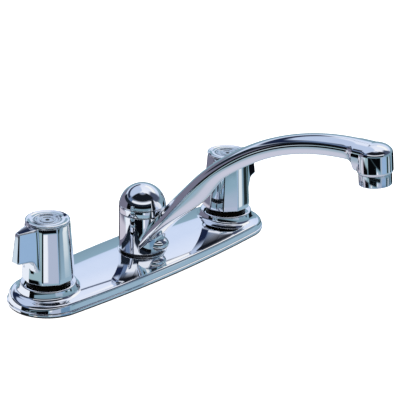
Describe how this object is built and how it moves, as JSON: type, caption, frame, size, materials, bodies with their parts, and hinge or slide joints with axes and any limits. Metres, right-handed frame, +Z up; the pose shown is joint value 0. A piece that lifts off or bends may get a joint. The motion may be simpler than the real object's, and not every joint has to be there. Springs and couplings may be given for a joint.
{
  "type": "two handle kitchen faucet",
  "caption": "Chrome deck-mounted kitchen mixer tap: bowed deck plate, faceted lever handles that turn a quarter, domed hub with a long arched swinging spout, tilted outlet with an aerator.",
  "frame": {"origin": "on the deck surface, under the middle of the deck plate", "axes": "+X to the right along the plate, +Y away from the user, +Z up"},
  "size_m": [0.2698, 0.2492, 0.2054],
  "materials": {
    "polished_chrome": "mirror polished",
    "brass": "machined",
    "copper_tube": "drawn copper",
    "steel": "plated",
    "black_rubber": "matte",
    "white_plastic": "moulded",
    "dark_plastic": "moulded",
    "clear_plastic": "clear, moulded"
  },
  "bodies": {
    "base": {"left_valve_body": "brass", "left_seat": "black_rubber", "left_seat_spring": "steel", "left_bonnet_nut": "brass", "left_mounting_washer": "steel", "left_mounting_nut": "brass", "left_supply_tube": "copper_tube", "right_valve_body": "brass", "right_seat": "black_rubber", "right_seat_spring": "steel", "right_bonnet_nut": "brass", "right_mounting_washer": "steel", "right_mounting_nut": "brass", "right_supply_tube": "copper_tube", "deck_plate": "polished_chrome", "deck_gasket": "black_rubber", "spout_post": "brass", "lower_spout_o_ring": "black_rubber", "upper_spout_o_ring": "black_rubber", "spout_slip_ring": "dark_plastic", "spout_glide_washer": "white_plastic", "dome_cap": "polished_chrome"},
    "left_handle": {"left_handle": "polished_chrome", "left_handle_screw": "steel", "left_index_button": "clear_plastic", "left_stem": "brass", "left_stem_o_ring": "black_rubber"},
    "right_handle": {"right_handle": "polished_chrome", "right_handle_screw": "steel", "right_index_button": "clear_plastic", "right_stem": "brass", "right_stem_o_ring": "black_rubber"},
    "spout": {"spout": "polished_chrome", "aerator_housing": "polished_chrome", "aerator_insert": "white_plastic", "aerator_washer": "black_rubber"}
  },
  "joints": [
    {"name": "left_handle_turn", "type": "hinge", "parent": "base", "child": "left_handle", "pos_m": [-0.1016, 0, 0], "axis": [0, 0, 1], "range_deg": [0, 90]},
    {"name": "right_handle_turn", "type": "hinge", "parent": "base", "child": "right_handle", "pos_m": [0.1016, 0, 0], "axis": [0, 0, -1], "range_deg": [0, 90]},
    {"name": "spout_swing", "type": "hinge", "parent": "base", "child": "spout", "pos_m": [0, 0, 0], "axis": [0, 0, 1], "continuous": true}
  ]
}
